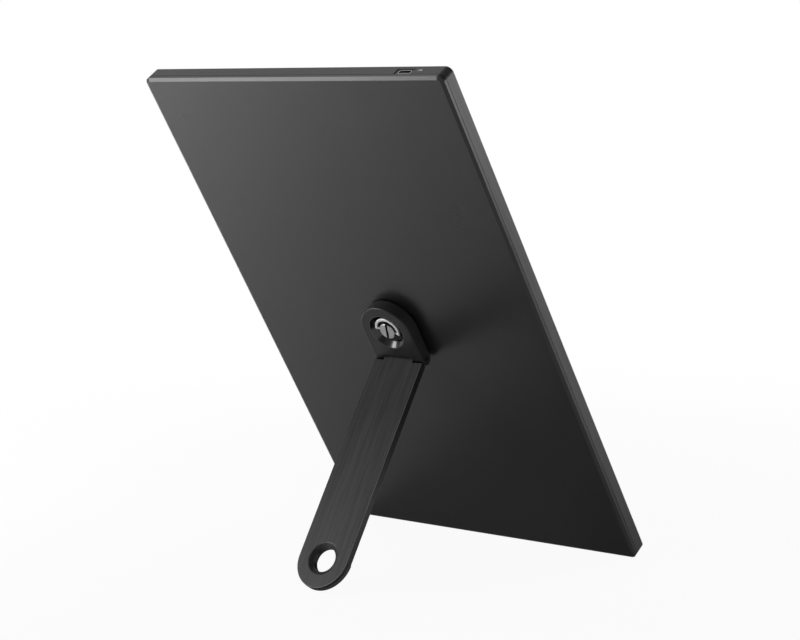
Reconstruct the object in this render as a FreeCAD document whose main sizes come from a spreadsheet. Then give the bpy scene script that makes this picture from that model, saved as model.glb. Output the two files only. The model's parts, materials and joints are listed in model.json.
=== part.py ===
import FreeCAD, Part
import math
import os
import re

import Sketcher

# Portable 15.6-inch monitor on a swivelling, folding stand. Lengths in millimetres.
#
# Every piece is drawn in one flat frame: the monitor lies on its screen, its back face
# is at z = 0, x runs across the back, y up the panel, and the origin is the panel's
# middle, where the stand's screw goes in. The arm is drawn folded, with its hinge axis
# on x. Poses then stand the monitor up, open the arm and turn the screw.

SIZES = {
    # Casing
    "panel_thickness": 11.0,
    "panel_corner": 4.0,
    "cover_depth": 3.1,
    "cover_plate": 1.6,
    "bevel_width": 2.0,
    "bevel_depth": 1.1,
    "seam_gap": 0.3,
    "side_wall": 2.0,
    "lip_wall": 1.0,
    "lip_depth": 0.9,
    "fit_gap": 0.1,
    "front_chamfer": 0.2,
    "cut_overrun": 1.0,
    # Screen: the lit area, the bezel beside it and the layers behind it
    "active_width": 193.6,
    "active_height": 344.2,
    "bezel_side": 8.0,
    "bezel_end": 7.9,
    "chin_width": 26.4,
    "bezel_thickness": 0.9,
    "bezel_corner": 1.0,
    "bezel_slope": 0.4,
    "cell_border": 2.6,
    "cell_thickness": 0.9,
    "sheet_thickness": 0.2,
    "guide_thickness": 0.5,
    "tray_base": 0.3,
    "tray_wall": 0.4,
    "led_bar_width": 0.4,
    "led_width": 0.6,
    "led_length": 3.0,
    "led_count": 24,
    # Driver board in the chin
    "driver_gap": 2.3,
    "driver_width": 15.0,
    "driver_length": 300.0,
    "driver_thickness": 0.8,
    "film_length": 36.0,
    "film_thickness": 0.15,
    "film_overlap": 3.0,
    "film_count": 6,
    "driver_chip_side": 9.0,
    "driver_chip_height": 0.9,
    # Main board, with the inlet on its edge
    "board_thickness": 1.0,
    "board_width": 66.0,
    "board_length": 84.0,
    "board_edge_gap": 0.5,
    "board_side_gap": 5.0,
    "board_hole_inset": 5.0,
    "chip_height": 1.2,
    "big_chip": 14.0,
    "mid_chip": 9.0,
    "small_chip": 6.0,
    "connector_length": 10.4,
    "connector_width": 4.0,
    "connector_height": 1.5,
    "port_from_edge": 29.1,
    "port_depth": 5.9,
    "port_width": 8.94,
    "port_height": 3.26,
    "port_length": 7.35,
    "port_inset": 0.35,
    "port_wall": 0.3,
    "port_tongue_width": 6.7,
    "port_tongue_thickness": 0.7,
    "port_tongue_length": 4.9,
    "port_recess_width": 12.9,
    "port_recess_height": 5.2,
    "port_recess_depth": 0.4,
    "port_recess_corner": 0.8,
    # Status light beside the inlet
    "light_from_edge": 19.0,
    "light_depth": 7.2,
    "light_width": 2.7,
    "light_height": 1.5,
    "light_leg": 1.4,
    "light_inside": 4.8,
    "status_led_height": 0.6,
    "status_led_length": 0.8,
    # Keys on the short edge that the photograph hides
    "power_key_from_edge": 26.0,
    "menu_key_from_edge": 50.0,
    "key_length": 10.0,
    "key_height": 2.6,
    "key_corner": 1.1,
    "key_proud": 0.3,
    "key_gap": 0.15,
    "key_flange": 0.45,
    "key_flange_thickness": 0.8,
    "key_travel": 0.6,
    "key_board_length": 56.0,
    "key_board_depth": 10.0,
    "key_board_hole_inset": 4.0,
    "switch_length": 6.0,
    "switch_depth": 3.5,
    "switch_height": 3.3,
    "switch_stem": 1.1,
    "switch_stem_width": 2.6,
    # Flat cables
    "ribbon_thickness": 0.2,
    "display_ribbon_width": 9.0,
    "key_ribbon_width": 6.0,
    "key_ribbon_from_edge": 36.0,
    "ribbon_tail": 5.0,
    "ribbon_ramp": 6.0,
    "ribbon_bend": 2.0,
    # Screws that hold the boards and the socket plate
    "boss_radius": 2.6,
    "screw_shank": 1.0,
    "screw_gap": 0.05,
    "screw_head": 1.9,
    "screw_head_height": 0.8,
    "screw_bite": 0.9,
    # Socket for the stand's screw
    "socket_plate_side": 64.0,
    "socket_plate_corner": 4.0,
    "socket_plate_thickness": 1.0,
    "socket_boss_height": 1.7,
    "socket_hole_inset": 5.0,
    "nut_radius": 5.2,
    "nut_flange": 8.0,
    "nut_flange_thickness": 1.2,
    "nut_length": 6.6,
    "nut_floor": 0.8,
    "nut_rim_inset": 0.1,
    "socket_ring": 9.5,
    # Stand head
    "stand_width": 37.4,
    "head_top": 9.0,
    "pad_thickness": 0.95,
    "pad_gap": 0.05,
    "pad_inset": 2.0,
    "pad_hole": 8.0,
    "head_edge": 0.9,
    "hinge_drop": 22.6,
    "hinge_height": 5.0,
    "ear_width": 6.9,
    "slot_back": 3.5,
    "well_top": 12.2,
    "well_floor": 9.2,
    "well_depth": 4.0,
    "liner_wall": 0.5,
    "liner_floor": 0.6,
    "web_thickness": 1.4,
    "keeper_recess": 6.2,
    # Clamp screw and its ring
    "thread_radius": 3.1,
    "thread_gap": 0.1,
    "thread_reach": 4.8,
    "thread_tip": 0.8,
    "neck_gap": 0.3,
    "screw_seat_gap": 0.05,
    "screw_flange": 8.8,
    "screw_flange_height": 1.3,
    "screw_flange_edge": 0.3,
    "knob_radius": 5.6,
    "knob_top": 8.4,
    "knob_edge": 0.35,
    "coin_slot_width": 1.6,
    "coin_slot_depth": 1.2,
    "screw_turn": -14.5,
    "keeper_outer": 5.4,
    "keeper_thickness": 0.6,
    "keeper_groove": 0.8,
    "keeper_clear": 0.2,
    "ring_outer": 8.9,
    "ring_inner": 6.9,
    "ring_thickness": 1.5,
    "ring_middle": 7.4,
    "ring_rise": 0.9,
    "ring_edge": 0.4,
    "ring_pin": 0.55,
    "ring_pin_gap": 0.05,
    "ring_pin_depth": 0.9,
    # Hinge and arm
    "pin_radius": 1.5,
    "pin_gap": 0.05,
    "pin_end_inset": 0.3,
    "hinge_side_gap": 0.5,
    "washer_radius": 2.8,
    "washer_thickness": 0.4,
    "arm_top": 3.0,
    "arm_thickness": 4.65,
    "arm_edge": 0.3,
    "shoulder_gap": 0.5,
    "hole_distance": 137.2,
    "hole_rim": 10.4,
    "hole_radius": 7.9,
    "hole_sink": 1.8,
    "collar_wall": 1.8,
    "collar_recess": 0.3,
    "tip_plate": 1.5,
    "foot_proud": 0.2,
    "foot_depth": 6.0,
    "foot_edge": 1.8,
    "foot_gap": 0.1,
    "foot_groove_depth": 1.0,
    "foot_groove_height": 0.5,
    "arm_open": 66.35,
}

# Levels and angles that follow from the sizes above, each written in those names.
DERIVED = {
    "panel_width": "bezel_side + active_width + chin_width",
    "panel_height": "active_height + 2 * bezel_end",
    "half_width": "panel_width / 2",
    "half_height": "panel_height / 2",
    "port_x": "half_width - port_from_edge",
    "light_x": "half_width - light_from_edge",
    "power_key_x": "half_width - power_key_from_edge",
    "menu_key_x": "half_width - menu_key_from_edge",
    "key_ribbon_x": "half_width - key_ribbon_from_edge",
    "frame_top": "-(cover_depth + seam_gap)",
    "lip_inset": "side_wall + fit_gap",
    "lip_end": "-(cover_depth + lip_depth)",
    "bezel_back": "-(panel_thickness - bezel_thickness)",
    "cell_back": "bezel_back + cell_thickness",
    "diffuser_back": "cell_back + sheet_thickness",
    "prism_back": "diffuser_back + sheet_thickness",
    "guide_back": "prism_back + guide_thickness",
    "reflector_back": "guide_back + sheet_thickness",
    "tray_back": "reflector_back + tray_base",
    "active_left": "-(half_width - bezel_side)",
    "active_right": "active_left + active_width",
    "cell_left": "active_left - cell_border",
    "cell_right": "active_right + cell_border",
    "cell_high": "active_height / 2 + cell_border",
    "film_back": "bezel_back + driver_thickness + film_thickness",
    "driver_left": "cell_right + driver_gap",
    "driver_right": "driver_left + driver_width",
    "board_front": "-(port_depth - port_height / 2)",
    "board_back": "board_front + board_thickness",
    "inner_edge": "half_height - lip_inset - lip_wall",
    "board_high": "inner_edge - board_edge_gap",
    "board_low": "board_high - board_length",
    "board_right": "half_width - lip_inset - lip_wall - board_side_gap",
    "board_left": "board_right - board_width",
    "key_board_low": "-board_high",
    "key_board_high": "key_board_low + key_board_depth",
    "key_middle": "(power_key_x + menu_key_x) / 2",
    "key_board_left": "key_middle - key_board_length / 2",
    "key_board_right": "key_middle + key_board_length / 2",
    "wall_inner": "half_height - side_wall",
    "stem_end": "-(wall_inner - key_flange_thickness - key_travel)",
    "light_in": "half_height - light_inside",
    "socket_plate_top": "-(cover_plate + socket_boss_height)",
    "socket_plate_low": "socket_plate_top - socket_plate_thickness",
    "head_bottom": "pad_gap + pad_thickness",
    "head_radius": "stand_width / 2",
    "well_bottom": "head_top - well_depth",
    "liner_bottom": "well_bottom - liner_floor",
    "web_bottom": "liner_bottom - web_thickness",
    "screw_seat": "well_bottom + screw_seat_gap",
    "screw_flange_top": "screw_seat + screw_flange_height",
    "keeper_bottom": "head_bottom + keeper_clear",
    "keeper_top": "keeper_bottom + keeper_thickness",
    "keeper_inner": "thread_radius - keeper_groove + screw_gap",
    "ear_radius": "head_top - hinge_height",
    "ear_inner": "head_radius - ear_width",
    "tongue_half": "ear_inner - hinge_side_gap",
    "shoulder": "ear_radius + shoulder_gap",
    "arm_bottom": "arm_top - arm_thickness",
    "arm_radius": "stand_width / 2",
    "foot_radius": "arm_radius + foot_proud",
    "foot_bottom": "arm_top - foot_depth",
    "foot_top": "arm_top - tip_plate",
    "collar_radius": "hole_radius + collar_wall",
    "collar_bottom": "foot_bottom + collar_recess",
    # The foot's rounded edge and the cover's back edge stand on the same ground.
    "toe_along": "hole_distance + foot_radius - foot_edge",
    "toe_out": "foot_bottom + foot_edge",
    "toe_up": "half_height - hinge_drop - toe_along * cos(arm_open) + toe_out * sin(arm_open)",
    "toe_back": "hinge_height + toe_along * sin(arm_open) + toe_out * cos(arm_open) + bevel_depth",
}
ANGLES = {
    "panel_tilt": "acos(foot_edge / hypot(toe_up; toe_back)) - atan2(toe_back; toe_up)",
}
PLACES = {
    "stand_rise": "half_height * cos(panel_tilt) - bevel_depth * sin(panel_tilt)",
    "stand_shift": "((panel_thickness + bevel_depth) * cos(panel_tilt)"
                   " - front_chamfer * sin(panel_tilt)) / 2",
}

doc = FreeCAD.newDocument("portable_monitor")
sheet = doc.addObject("Spreadsheet::Sheet", "Sizes")
for row, (size_name, size_value) in enumerate(SIZES.items(), start=1):
    sheet.set(f"A{row}", size_name)
    sheet.set(f"B{row}", str(size_value))
    sheet.setAlias(f"B{row}", size_name)
doc.recompute()

layout = doc.addObject("App::FeaturePython", "Layout")
gauge = doc.addObject("App::FeaturePython", "Gauge")
gauge.addProperty("App::PropertyFloat", "reading")


def bound(text):
    """The expression with each name read from its cell or from the layout."""
    def cell(match):
        word = match.group(0)
        if word in SIZES:
            return "Sizes." + word
        if word in DERIVED or word in ANGLES or word in PLACES:
            return "Layout." + word
        return word
    degrees = re.sub(r"\b(arm_open|screw_turn)\b", r"(\1 * 1 deg)", text)
    return re.sub(r"[a-z][a-z0-9_]*", cell, degrees)


for table, kind in ((DERIVED, "App::PropertyFloat"), (ANGLES, "App::PropertyAngle"),
                    (PLACES, "App::PropertyFloat")):
    for derived_name, formula in table.items():
        layout.addProperty(kind, derived_name)
        layout.setExpression(derived_name, bound(formula))
doc.recompute()


def value(text):
    """What an expression comes to now."""
    gauge.setExpression("reading", bound(text))
    gauge.recompute()
    return gauge.reading


# Poses

UPRIGHT = ("placement(vector(0; stand_shift; stand_rise);"
           " rotation(vector(1; 0; 0); -(90 deg + panel_tilt)))"
           " * placement(vector(0; 0; 0); rotation(vector(0; 0; 1); 180 deg))")
OPENED = ("standing.Placement * placement(vector(0; -hinge_drop; hinge_height);"
          " rotation(vector(1; 0; 0); -arm_open))")
TURNED = "standing.Placement * placement(vector(0; 0; 0); rotation(vector(0; 0; 1); screw_turn))"

for pose_name, pose_text in (("standing", UPRIGHT), ("arm_opened", OPENED), ("screw_turned", TURNED)):
    pose = doc.addObject("App::Placement", pose_name)
    pose.setExpression("Placement", bound(pose_text))
    doc.recompute()

NODES = []
ON_AXIS = 1e-9
SAME_LEVEL = 1e-5


def keep(piece, pose_of_piece="standing"):
    """Make an object a piece of the part and give it its pose."""
    piece.Label = piece.Name
    piece.setExpression("Placement", f"{pose_of_piece}.Placement")
    NODES.append(piece)
    return piece


# Sketching

def origin_plane(body, role):
    return [plane for plane in body.Origin.OriginFeatures if plane.Role == role][0]


def new_sketch(body, name, plane="XY_Plane", level="0"):
    """A sketch on one of the body's planes, moved along z, y on XZ_Plane or x on YZ_Plane."""
    sketch = body.newObject("Sketcher::SketchObject", name)
    sketch.AttachmentSupport = [(origin_plane(body, plane), "")]
    sketch.MapMode = "FlatFace"
    along = f"-({level})" if plane == "XZ_Plane" else level
    sketch.setExpression("AttachmentOffset.Base.z", bound(along))
    return sketch


def hold(sketch, direction, geometry, point, text):
    """Tie one coordinate of a point to an expression, measured from the origin."""
    amount = value(text)
    if abs(amount) < ON_AXIS:
        axis = -2 if direction == "DistanceX" else -1
        sketch.addConstraint(Sketcher.Constraint("PointOnObject", geometry, point, axis))
        return
    if amount > 0:
        index = sketch.addConstraint(
            Sketcher.Constraint(direction, -1, 1, geometry, point, amount))
        sketch.setExpression(f"Constraints[{index}]", bound(text))
    else:
        index = sketch.addConstraint(
            Sketcher.Constraint(direction, geometry, point, -1, 1, -amount))
        sketch.setExpression(f"Constraints[{index}]", bound(f"-({text})"))


def polygon(sketch, corners):
    """A closed outline of straight lines, each corner tied to its two expressions."""
    spots = [FreeCAD.Vector(value(x), value(y), 0) for x, y in corners]
    count = len(spots)
    lines = []
    for index in range(count):
        line = Part.LineSegment(spots[index], spots[(index + 1) % count])
        lines.append(sketch.addGeometry(line, False))
    for index in range(count):
        following = lines[(index + 1) % count]
        sketch.addConstraint(Sketcher.Constraint("Coincident", lines[index], 2, following, 1))
    for line, (x, y) in zip(lines, corners):
        hold(sketch, "DistanceX", line, 1, x)
        hold(sketch, "DistanceY", line, 1, y)


def rectangle(sketch, left, right, low, high):
    polygon(sketch, [(left, low), (right, low), (right, high), (left, high)])


def circle(sketch, x, y, radius):
    centre = FreeCAD.Vector(value(x), value(y), 0)
    size = value(radius)
    round_line = Part.Circle(centre, FreeCAD.Vector(0, 0, 1), size)
    geometry = sketch.addGeometry(round_line, False)
    index = sketch.addConstraint(Sketcher.Constraint("Radius", geometry, size))
    sketch.setExpression(f"Constraints[{index}]", bound(radius))
    hold(sketch, "DistanceX", geometry, 3, x)
    hold(sketch, "DistanceY", geometry, 3, y)


def rounded_rectangle(sketch, left, right, low, high, radius):
    """A rectangle whose corners are tangent arcs of one radius."""
    x0, x1, y0, y1, size = (value(text) for text in (left, right, low, high, radius))
    runs = [((x0 + size, y0), (x1 - size, y0)), ((x1, y0 + size), (x1, y1 - size)),
            ((x1 - size, y1), (x0 + size, y1)), ((x0, y1 - size), (x0, y0 + size))]
    centres = [(x1 - size, y0 + size), (x1 - size, y1 - size),
               (x0 + size, y1 - size), (x0 + size, y0 + size)]
    lines = []
    arcs = []
    for start, end in runs:
        line = Part.LineSegment(FreeCAD.Vector(*start, 0), FreeCAD.Vector(*end, 0))
        lines.append(sketch.addGeometry(line, False))
    for index, centre in enumerate(centres):
        ring = Part.Circle(FreeCAD.Vector(*centre, 0), FreeCAD.Vector(0, 0, 1), size)
        start_angle = math.pi / 2 * (index - 1)
        arc = Part.ArcOfCircle(ring, start_angle, start_angle + math.pi / 2)
        arcs.append(sketch.addGeometry(arc, False))
    for index in range(4):
        following = lines[(index + 1) % 4]
        sketch.addConstraint(Sketcher.Constraint("Tangent", lines[index], 2, arcs[index], 1))
        sketch.addConstraint(Sketcher.Constraint("Tangent", arcs[index], 2, following, 1))
        flat = "Horizontal" if index % 2 == 0 else "Vertical"
        sketch.addConstraint(Sketcher.Constraint(flat, lines[index]))
    for arc in arcs[1:]:
        sketch.addConstraint(Sketcher.Constraint("Equal", arcs[0], arc))
    index = sketch.addConstraint(Sketcher.Constraint("Radius", arcs[0], size))
    sketch.setExpression(f"Constraints[{index}]", bound(radius))
    hold(sketch, "DistanceY", lines[0], 1, low)
    hold(sketch, "DistanceX", lines[1], 1, right)
    hold(sketch, "DistanceY", lines[2], 1, high)
    hold(sketch, "DistanceX", lines[3], 1, left)


def round_ended(sketch, radius, flat_end, centre):
    """A strip on the y axis with a square end at flat_end and a half round about centre."""
    size, flat, middle = value(radius), value(flat_end), value(centre)
    upwards = middle > flat
    near_left = FreeCAD.Vector(-size, flat, 0)
    near_right = FreeCAD.Vector(size, flat, 0)
    far_left = FreeCAD.Vector(-size, middle, 0)
    far_right = FreeCAD.Vector(size, middle, 0)
    ring = Part.Circle(FreeCAD.Vector(0, middle, 0), FreeCAD.Vector(0, 0, 1), size)
    start_angle = 0 if upwards else math.pi
    end = sketch.addGeometry(Part.LineSegment(near_left, near_right), False)
    right = sketch.addGeometry(Part.LineSegment(near_right, far_right), False)
    left = sketch.addGeometry(Part.LineSegment(far_left, near_left), False)
    arc = sketch.addGeometry(Part.ArcOfCircle(ring, start_angle, start_angle + math.pi), False)
    right_point, left_point = (1, 2) if upwards else (2, 1)
    sketch.addConstraint(Sketcher.Constraint("Coincident", end, 2, right, 1))
    sketch.addConstraint(Sketcher.Constraint("Coincident", left, 2, end, 1))
    sketch.addConstraint(Sketcher.Constraint("Tangent", right, 2, arc, right_point))
    sketch.addConstraint(Sketcher.Constraint("Tangent", left, 1, arc, left_point))
    sketch.addConstraint(Sketcher.Constraint("Horizontal", end))
    sketch.addConstraint(Sketcher.Constraint("Vertical", right))
    sketch.addConstraint(Sketcher.Constraint("Vertical", left))
    index = sketch.addConstraint(Sketcher.Constraint("Radius", arc, size))
    sketch.setExpression(f"Constraints[{index}]", bound(radius))
    hold(sketch, "DistanceX", arc, 3, "0")
    hold(sketch, "DistanceY", arc, 3, centre)
    hold(sketch, "DistanceY", end, 1, flat_end)


# Features

def new_body(name):
    return doc.addObject("PartDesign::Body", name)


def pad(body, sketch, length, downwards=False):
    """Material from the sketch along its normal, or the other way."""
    feature = body.newObject("PartDesign::Pad", sketch.Name + "_pad")
    feature.Profile = sketch
    feature.setExpression("Length", bound(length))
    feature.Reversed = downwards
    sketch.Visibility = False
    doc.recompute()
    return feature


def pocket(body, sketch, length, upwards=False):
    """A cut from the sketch against its normal, or along it; it has to remove material."""
    before = body.Shape.Volume
    feature = body.newObject("PartDesign::Pocket", sketch.Name + "_pocket")
    feature.Profile = sketch
    feature.setExpression("Length", bound(length))
    feature.Reversed = upwards
    doc.recompute()
    if not body.Shape.Volume < before:
        raise RuntimeError(f"{feature.Name} removes nothing")
    return feature


def revolve(body, sketch):
    """A full turn of the sketch about its vertical axis."""
    feature = body.newObject("PartDesign::Revolution", sketch.Name + "_turn")
    feature.Profile = sketch
    feature.ReferenceAxis = (sketch, ["V_Axis"])
    feature.Angle = 360
    doc.recompute()
    return feature


def edges_of(feature, chosen):
    names = [f"Edge{index}" for index, edge in enumerate(feature.Shape.Edges, start=1)
             if chosen(edge.BoundBox)]
    if not names:
        raise RuntimeError(f"no edge of {feature.Name} is where its edge should be")
    return names


def at_level(level):
    """Edges that lie in the plane z = level."""
    height = value(level)
    return lambda edge: (abs(edge.ZMin - height) < SAME_LEVEL
                         and abs(edge.ZMax - height) < SAME_LEVEL)


def round_edges(body, feature, chosen, radius):
    fillet = body.newObject("PartDesign::Fillet", feature.Name + "_round")
    fillet.Base = (feature, edges_of(feature, chosen))
    fillet.setExpression("Radius", bound(radius))
    doc.recompute()
    return fillet


def bevel_edges(body, feature, chosen, size):
    chamfer = body.newObject("PartDesign::Chamfer", feature.Name + "_bevel")
    chamfer.Base = (feature, edges_of(feature, chosen))
    chamfer.setExpression("Size", bound(size))
    doc.recompute()
    return chamfer


def side_rod(body, kind, name, radius, half_length, y="0", z="0"):
    """A round bar along x, added to or taken from a body."""
    rod = body.newObject(f"PartDesign::{kind}Cylinder", name)
    rod.setExpression("Radius", bound(radius))
    rod.setExpression("Height", bound(f"2 * ({half_length})"))
    rod.setExpression("Placement", bound(
        f"placement(vector(-({half_length}); {y}; {z}); rotation(vector(0; 1; 0); 90 deg))"))
    doc.recompute()
    return rod


def box(name, left, right, low, high, under, over):
    """A plain block between six levels of the flat frame."""
    block = doc.addObject("Part::Box", name)
    block.setExpression("Length", bound(f"({right}) - ({left})"))
    block.setExpression("Width", bound(f"({high}) - ({low})"))
    block.setExpression("Height", bound(f"({over}) - ({under})"))
    for axis, text in (("x", left), ("y", low), ("z", under)):
        block.setExpression(f"Placement.Base.{axis}", bound(text))
    return block


def rod(name, radius, x, y, under, over):
    """A round bar along z."""
    bar = doc.addObject("Part::Cylinder", name)
    bar.setExpression("Radius", bound(radius))
    bar.setExpression("Height", bound(f"({over}) - ({under})"))
    for axis, text in (("x", x), ("y", y), ("z", under)):
        bar.setExpression(f"Placement.Base.{axis}", bound(text))
    return bar


def cut(name, base, tool):
    result = doc.addObject("Part::Cut", name)
    result.Base = base
    result.Tool = tool
    return result


def fuse(name, pieces):
    result = doc.addObject("Part::MultiFuse", name)
    result.Shapes = pieces
    return result


def group(name, pieces):
    """Identical or small pieces that share one node, each still its own solid."""
    result = doc.addObject("Part::Compound", name)
    result.Links = pieces
    return result


# Places that more than one piece uses

BOARD_HOLES = [(x, y)
               for x in ("board_left + board_hole_inset", "board_right - board_hole_inset")
               for y in ("board_low + connector_width + board_hole_inset",
                         "board_high - board_hole_inset")]
KEY_BOARD_HOLES = [(x, "key_board_high - key_board_hole_inset")
                   for x in ("key_board_left + key_board_hole_inset",
                             "key_board_right - key_board_hole_inset")]
SOCKET_HOLES = [(f"{side}(socket_plate_side / 2 - socket_hole_inset)",
                 f"{end}(socket_plate_side / 2 - socket_hole_inset)")
                for side in "+-" for end in "+-"]
DRIVER_CHIP_SHARES = (-0.3, -0.1, 0.38)
MAIN_CHIP_SHARES = (
    ("big_chip", 0.35, 0.45), ("mid_chip", 0.72, 0.62), ("mid_chip", 0.3, 0.75),
    ("small_chip", 0.55, 0.78), ("small_chip", 0.72, 0.4), ("small_chip", 0.82, 0.42))
KEYS = (("power_button", "power_key_x"), ("menu_button", "menu_key_x"))


# Casing

def rear_cover():
    """Back plate with a bevelled rim, an inner lip, and bosses for what screws to it."""
    body = new_body("rear_cover")
    outline = new_sketch(body, "cover_outline", level="-cover_depth")
    rounded_rectangle(outline, "-half_width", "half_width", "-half_height", "half_height",
                      "panel_corner")
    block = pad(body, outline, "cover_depth")
    bevel = body.newObject("PartDesign::Chamfer", "cover_bevel")
    bevel.Base = (block, edges_of(block, at_level("0")))
    bevel.ChamferType = "Two distances"
    bevel.setExpression("Size", bound("bevel_depth"))
    bevel.setExpression("Size2", bound("bevel_width"))
    doc.recompute()
    lip = new_sketch(body, "cover_lip", level="-cover_depth")
    rounded_rectangle(lip, "-(half_width - lip_inset)", "half_width - lip_inset",
                      "-(half_height - lip_inset)", "half_height - lip_inset",
                      "panel_corner - lip_inset")
    pad(body, lip, "lip_depth", downwards=True)
    hollow = new_sketch(body, "cover_hollow", level="lip_end")
    rectangle(hollow, "-(half_width - lip_inset - lip_wall)", "half_width - lip_inset - lip_wall",
              "-inner_edge", "inner_edge")
    pocket(body, hollow, "-lip_end - cover_plate", upwards=True)
    posts = new_sketch(body, "board_posts", level="-cover_plate")
    for x, y in BOARD_HOLES + KEY_BOARD_HOLES:
        circle(posts, x, y, "boss_radius")
    pad(body, posts, "-cover_plate - board_back", downwards=True)
    plate_posts = new_sketch(body, "plate_posts", level="-cover_plate")
    for x, y in SOCKET_HOLES:
        circle(plate_posts, x, y, "boss_radius")
    circle(plate_posts, "0", "0", "socket_ring")
    pad(body, plate_posts, "socket_boss_height", downwards=True)
    board_holes = new_sketch(body, "board_screw_holes", level="board_back")
    for x, y in BOARD_HOLES + KEY_BOARD_HOLES:
        circle(board_holes, x, y, "screw_shank + screw_gap")
    pocket(body, board_holes, "screw_bite + screw_gap", upwards=True)
    plate_holes = new_sketch(body, "plate_screw_holes", level="socket_plate_top")
    for x, y in SOCKET_HOLES:
        circle(plate_holes, x, y, "screw_shank + screw_gap")
    pocket(body, plate_holes, "screw_bite + screw_gap", upwards=True)
    socket = new_sketch(body, "socket_hole", level="socket_plate_top")
    circle(socket, "0", "0", "nut_radius + screw_gap")
    pocket(body, socket, "-socket_plate_top + cut_overrun", upwards=True)
    keep(body)


def front_frame():
    """Bezel and side walls in one piece, open at the back, with the inlet and key openings."""
    body = new_body("front_frame")
    outline = new_sketch(body, "frame_outline", level="-panel_thickness")
    rounded_rectangle(outline, "-half_width", "half_width", "-half_height", "half_height",
                      "panel_corner")
    block = pad(body, outline, "panel_thickness + frame_top")
    bevel_edges(body, block, at_level("-panel_thickness"), "front_chamfer")
    hollow = new_sketch(body, "frame_hollow", level="frame_top")
    rounded_rectangle(hollow, "-(half_width - side_wall)", "half_width - side_wall",
                      "-wall_inner", "wall_inner", "panel_corner - side_wall")
    pocket(body, hollow, "frame_top - bezel_back")
    window = new_sketch(body, "frame_window", level="bezel_back")
    rounded_rectangle(window, "active_left", "active_right", "-active_height / 2",
                      "active_height / 2", "bezel_corner")
    opening = pocket(body, window, "bezel_thickness + cut_overrun")
    left = value("active_left") - SAME_LEVEL
    right = value("active_right") + SAME_LEVEL
    flat_front = at_level("-panel_thickness")
    bevel_edges(body, opening,
                lambda edge: flat_front(edge) and edge.XMin > left and edge.XMax < right,
                "bezel_slope")
    recess = new_sketch(body, "port_recess", "XZ_Plane", "half_height")
    rounded_rectangle(recess, "port_x - port_recess_width / 2",
                      "port_x + port_recess_width / 2",
                      "-port_depth - port_recess_height / 2",
                      "-port_depth + port_recess_height / 2", "port_recess_corner")
    pocket(body, recess, "port_recess_depth", upwards=True)
    port = new_sketch(body, "port_opening", "XZ_Plane", "half_height")
    rounded_rectangle(port, "port_x - port_width / 2 - fit_gap",
                      "port_x + port_width / 2 + fit_gap",
                      "-port_depth - port_height / 2 - fit_gap",
                      "-port_depth + port_height / 2 + fit_gap",
                      "port_height / 2")
    pocket(body, port, "side_wall + cut_overrun", upwards=True)
    light = new_sketch(body, "light_opening", "XZ_Plane", "half_height")
    rectangle(light, "light_x - light_width / 2 - fit_gap",
              "light_x + light_width / 2 + fit_gap",
              "-light_depth - light_height / 2 - fit_gap",
              "-light_depth + light_height / 2 + fit_gap")
    pocket(body, light, "side_wall + cut_overrun", upwards=True)
    for key, place in KEYS:
        slot = new_sketch(body, key + "_slot", "XZ_Plane", "-half_height")
        rounded_rectangle(slot, f"{place} - key_length / 2 - key_gap",
                          f"{place} + key_length / 2 + key_gap",
                          "-port_depth - key_height / 2 - key_gap",
                          "-port_depth + key_height / 2 + key_gap", "key_corner")
        pocket(body, slot, "side_wall + cut_overrun")
    keep(body)


# Screen

def screen_layers():
    """The cell against the bezel, then the sheets and light guide in their tray."""
    inner = ("cell_left + tray_wall + fit_gap", "cell_right - tray_wall - fit_gap",
             "-(cell_high - tray_wall - fit_gap)", "cell_high - tray_wall - fit_gap")
    keep(group("lcd_cell", [box("cell_block", "cell_left", "cell_right", "-cell_high",
                                "cell_high", "bezel_back", "cell_back")]))
    guide_right = "cell_right - tray_wall - led_bar_width - led_width - 2 * fit_gap"
    keep(group("diffuser_sheet", [box("diffuser_block", *inner, "cell_back", "diffuser_back")]))
    keep(group("prism_sheet", [box("prism_block", *inner, "diffuser_back", "prism_back")]))
    keep(group("light_guide", [box("guide_block", inner[0], guide_right, inner[2], inner[3],
                                   "prism_back", "guide_back")]))
    keep(group("reflector_sheet", [box("reflector_block", *inner, "guide_back",
                                       "reflector_back")]))
    pan = box("tray_outside", "cell_left", "cell_right", "-cell_high", "cell_high",
              "cell_back", "tray_back")
    hollow = box("tray_inside", "cell_left + tray_wall", "cell_right - tray_wall",
                 "-(cell_high - tray_wall)", "cell_high - tray_wall",
                 "cell_back - cut_overrun", "reflector_back")
    keep(cut("backlight_tray", pan, hollow))


def backlight():
    """A strip of LEDs along the chin edge of the light guide."""
    bar_right = "cell_right - tray_wall - fit_gap"
    bar_left = f"{bar_right} - led_bar_width"
    ends = ("-(cell_high - tray_wall - fit_gap)", "cell_high - tray_wall - fit_gap")
    keep(group("led_bar", [box("led_strip", bar_left, bar_right, *ends, "prism_back",
                               "guide_back")]))
    leds = []
    for index in range(SIZES["led_count"]):
        share = (index + 0.5) / SIZES["led_count"] - 0.5
        middle = f"active_height * ({share})"
        leds.append(box(f"led_{index}", f"{bar_left} - led_width", bar_left,
                        f"{middle} - led_length / 2", f"{middle} + led_length / 2",
                        "prism_back", "guide_back"))
    keep(group("backlight_leds", leds))


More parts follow.
